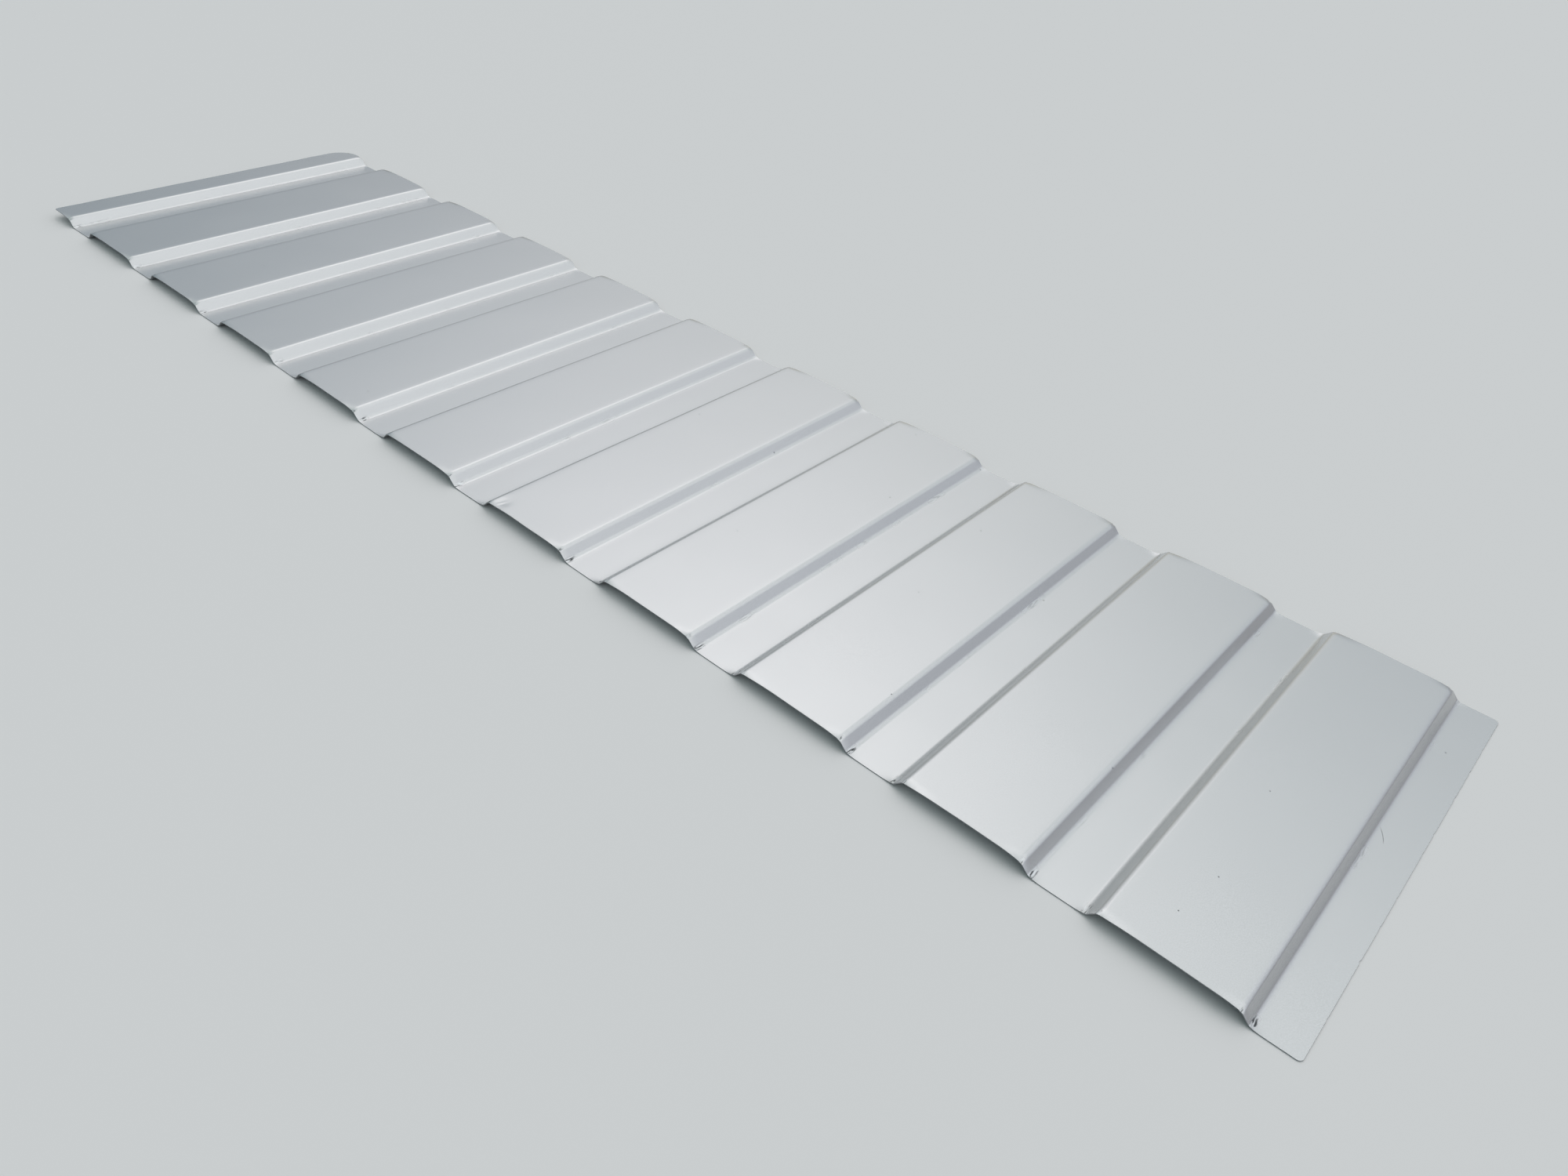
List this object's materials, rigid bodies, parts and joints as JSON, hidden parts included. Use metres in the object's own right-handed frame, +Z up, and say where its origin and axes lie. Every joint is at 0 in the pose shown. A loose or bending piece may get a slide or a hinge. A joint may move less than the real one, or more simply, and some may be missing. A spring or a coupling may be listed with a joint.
{
  "type": "corrugated metal sheet",
  "caption": "Flat painted steel sheet with low, wide trapezoidal ribs, sheared square across the ribs, with a crest strip along its left side and a valley strip along its right.",
  "frame": {"origin": "on the floor plane, under the middle of the sheet's outline, with the sheet lying flat on its valleys", "axes": "+X across the ribs, from the long side that ends in a crest strip to the one that ends in a valley strip; +Y along the ribs; +Z up, out of the painted face"},
  "size_m": [1.2094, 0.303, 0.008],
  "materials": {
    "painted_steel": "satin light-grey coil coating on galvanised steel"
  },
  "bodies": {
    "root": {"profiled_sheet": "painted_steel"}
  },
  "joints": []
}
